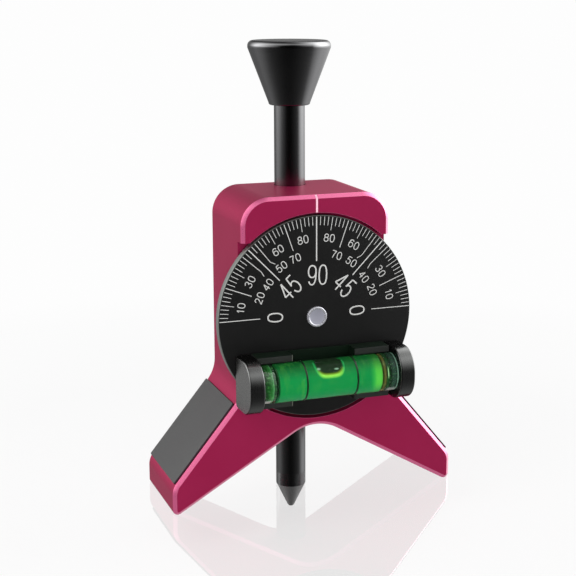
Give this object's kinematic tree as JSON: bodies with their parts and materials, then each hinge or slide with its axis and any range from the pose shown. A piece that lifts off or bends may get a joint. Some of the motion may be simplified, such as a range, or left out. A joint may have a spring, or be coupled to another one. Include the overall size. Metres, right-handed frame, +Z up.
{
  "type": "pipe center finder",
  "caption": "Y-shaped saddle block with a sliding centre punch and a turning angle dial that carries a level vial, for marking centre lines on pipe and round bar.",
  "frame": {"origin": "the apex of the saddle's 120 degree V, extended through the arch that rounds it, on the punch's axis", "axes": "+Z up along the punch's axis towards the knob, +Y from the dial's face to the rear face, +X to the right as seen facing the dial"},
  "size_m": [0.0754, 0.0427, 0.1245],
  "materials": {
    "anodised_body": "crimson anodised, satin",
    "label_plate": "matt grey",
    "bright_steel": "bright",
    "friction_polymer": "natural",
    "black_metal": "satin black",
    "black_dial": "matt black with light scale marks",
    "black_plastic": "satin black",
    "clear_acrylic": "clear, polished",
    "vial_liquid": "clear green",
    "ring_black": "black"
  },
  "bodies": {
    "body": {"y_body": "anodised_body", "label_plate_left": "label_plate", "label_plate_right": "label_plate", "pivot_rivet": "bright_steel", "friction_washer": "friction_polymer", "wave_washer": "bright_steel", "plunger_body": "black_metal", "plunger_nose": "bright_steel", "plunger_spring": "bright_steel"},
    "dial": {"dial_disc": "black_dial", "cradle_screw_left": "bright_steel", "cradle_screw_right": "bright_steel", "vial_cradle": "black_plastic", "vial_tube": "clear_acrylic", "vial_fluid": "vial_liquid", "vial_plug_left": "clear_acrylic", "vial_plug_right": "clear_acrylic", "vial_ring_left": "ring_black", "vial_ring_right": "ring_black", "end_cap_left": "black_plastic", "end_cap_right": "black_plastic"},
    "punch": {"punch_rod": "black_metal", "striking_knob": "black_metal"}
  },
  "joints": [
    {"name": "punch_slide", "type": "slide", "parent": "body", "child": "punch", "axis": [0, 0, 1], "range_m": [-0.0195, 0.029]},
    {"name": "dial_turn", "type": "hinge", "parent": "body", "child": "dial", "pos_m": [0, -0.0195, 0.0265], "axis": [0, -1, 0], "continuous": true}
  ]
}
